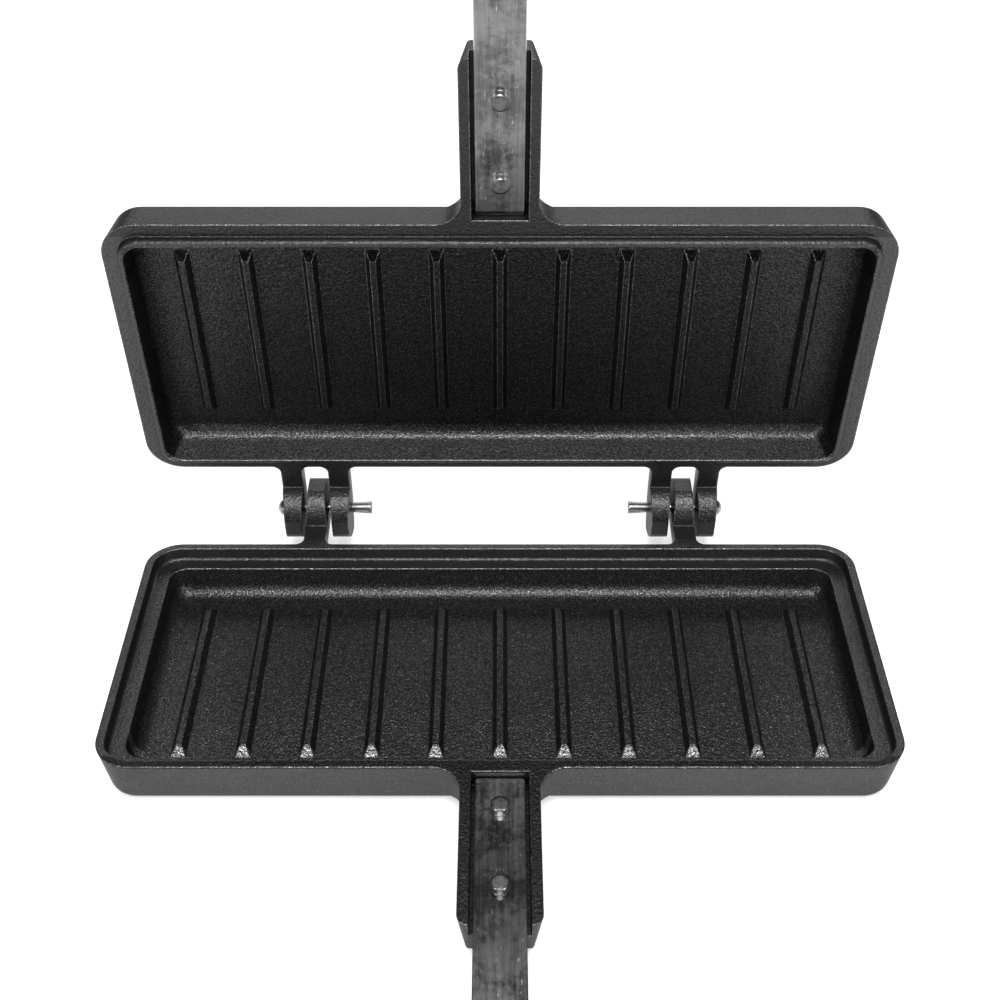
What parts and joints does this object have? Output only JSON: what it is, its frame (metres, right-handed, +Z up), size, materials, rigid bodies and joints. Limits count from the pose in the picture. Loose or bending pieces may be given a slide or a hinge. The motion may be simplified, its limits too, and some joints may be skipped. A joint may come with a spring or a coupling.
{
  "type": "pie iron",
  "caption": "Double pan cooking iron with two shallow ribbed cast pans hinged along one long side, each with a cast arm holding a long flat steel handle bar with a wooden grip.",
  "frame": {"origin": "Middle of the lower pan's flat underside, on the floor the iron rests on.", "axes": "+X runs along the hinge axis towards the right-hand pin, -Y runs along the lower handle away from the pans, +Z is up; the hinge lies at +Y and the upper iron stands open by 80 degrees."},
  "size_m": [0.25, 0.5617, 0.5622],
  "materials": {
    "cast_iron": "bare sand-cast iron, pebbly, satin, bright grains on the edges",
    "bar_steel": "polished flat bar with smudges and fine scratches",
    "rivet_steel": "smooth rivet and pin wire",
    "grip_wood": "oiled hardwood"
  },
  "bodies": {
    "lower_iron": {"lower_pan": "cast_iron", "lower_handle_bar": "bar_steel", "lower_root_rivet": "rivet_steel", "lower_outer_rivet": "rivet_steel", "lower_grip": "grip_wood", "lower_grip_rivet_1": "rivet_steel", "lower_grip_rivet_2": "rivet_steel", "lower_grip_rivet_3": "rivet_steel"},
    "upper_iron": {"upper_pan": "cast_iron", "left_hinge_pin": "rivet_steel", "right_hinge_pin": "rivet_steel", "upper_handle_bar": "bar_steel", "upper_root_rivet": "rivet_steel", "upper_outer_rivet": "rivet_steel", "upper_grip": "grip_wood", "upper_grip_rivet_1": "rivet_steel", "upper_grip_rivet_2": "rivet_steel", "upper_grip_rivet_3": "rivet_steel"}
  },
  "joints": [
    {"name": "pan_hinge", "type": "hinge", "parent": "lower_iron", "child": "upper_iron", "pos_m": [0, 0.07515, 0.01865], "axis": [-1, 0, 0], "range_deg": [-80, 100]}
  ]
}
